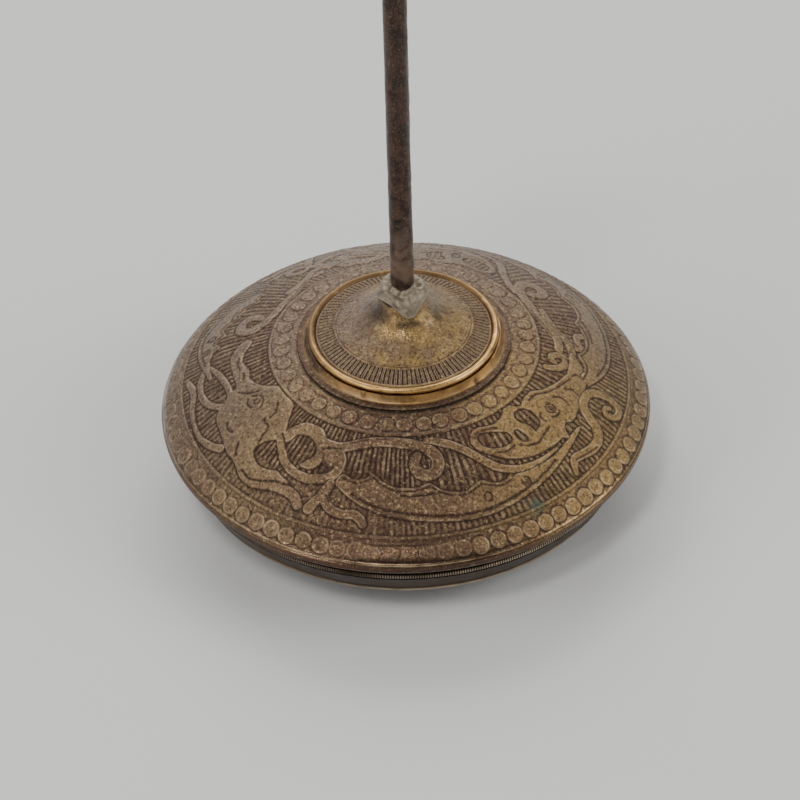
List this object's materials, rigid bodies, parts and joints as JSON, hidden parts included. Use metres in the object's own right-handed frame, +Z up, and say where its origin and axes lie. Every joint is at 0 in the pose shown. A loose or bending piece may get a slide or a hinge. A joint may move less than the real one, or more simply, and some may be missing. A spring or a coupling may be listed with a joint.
{
  "type": "hand bell",
  "caption": "Lens-shaped brass hand bell of two shells with an embossed top, iron rod handle soldered at the crown, and a hinged ball clapper inside.",
  "frame": {"origin": "centre of the flat foot ring round the mouth, at the height the bell stands on", "axes": "+Z up along the handle rod; -Y faces the viewer; the clapper swings in the YZ plane"},
  "size_m": [0.12, 0.12, 0.1708],
  "materials": {
    "embossed_brass": "aged embossed brass, olive-gold on the raised parts and dark brown in the hatched ground",
    "spun_brass": "aged pinkish-brown brass, worn bright on edges",
    "polished_brass": "hand-polished gold bead",
    "wrought_iron": "dark reddish-brown pitted iron rod",
    "clapper_iron": "dull dark iron, bright where it strikes",
    "lead_solder": null
  },
  "bodies": {
    "bell": {"upper_shell": "embossed_brass", "lower_shell": "spun_brass", "milled_band": "spun_brass", "seam_solder": "lead_solder", "collar": "embossed_brass", "bead_ring": "polished_brass", "crown_cap": "embossed_brass", "solder_fillet": "lead_solder", "handle_rod": "wrought_iron", "inner_washer": "wrought_iron", "inner_solder": "lead_solder"},
    "clapper": {"clapper_shank": "clapper_iron", "clapper_ball": "clapper_iron"}
  },
  "joints": [
    {"name": "clapper_swing", "type": "hinge", "parent": "bell", "child": "clapper", "pos_m": [0, 0, 0.0296], "axis": [1, 0, 0], "range_deg": [-80, 80]}
  ]
}
